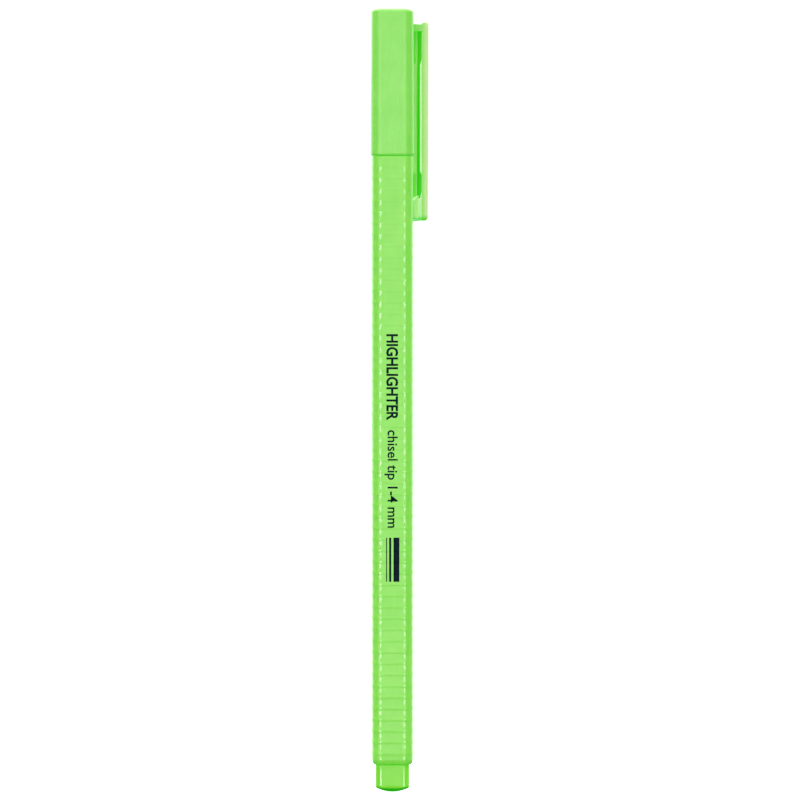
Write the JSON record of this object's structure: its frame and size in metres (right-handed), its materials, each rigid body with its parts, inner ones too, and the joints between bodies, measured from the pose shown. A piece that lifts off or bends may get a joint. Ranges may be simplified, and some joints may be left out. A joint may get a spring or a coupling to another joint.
{
  "type": "highlighter",
  "caption": "Slim three-sided highlighter with a ribbed barrel, domed end plug, fibre ink reservoir, chisel nib, push-on cap with an inner seal cup, and a channel-shaped pocket clip.",
  "frame": {"origin": "tip of the tail's dome, on the pen's axis", "axes": "+Z along the pen's axis from tail to cap; the flat front face looks along -Y; the clip stands on the right rear face, 30 degrees from +X towards +Y"},
  "size_m": [0.0119, 0.009, 0.16],
  "materials": {
    "barrel_plastic": "satin moulded fluorescent green",
    "cap_plastic": "polished moulded fluorescent green",
    "holder_plastic": "natural white moulded plastic",
    "nib_felt": "bonded fibre soaked in fluorescent ink",
    "ink_fibre": "fibre rod soaked in fluorescent ink",
    "film": "clear film"
  },
  "bodies": {
    "pen_body": {"barrel": "barrel_plastic", "end_plug": "barrel_plastic", "reservoir_core": "ink_fibre", "reservoir_film": "film", "nib_holder": "holder_plastic", "nib": "nib_felt"},
    "cap_body": {"cap": "cap_plastic", "cap_liner": "holder_plastic"},
    "clip_arm": {"clip": "cap_plastic"}
  },
  "joints": [
    {"name": "cap_slide", "type": "slide", "parent": "pen_body", "child": "cap_body", "axis": [0, 0, 1], "range_m": [0, 0.045]},
    {"name": "clip_flex", "type": "hinge", "parent": "cap_body", "child": "clip_arm", "pos_m": [0.00308, 0.00178, 0.15695], "axis": [0.5, -0.866, 0], "range_deg": [0, 3], "stiffness_Nm_per_rad": 2}
  ]
}
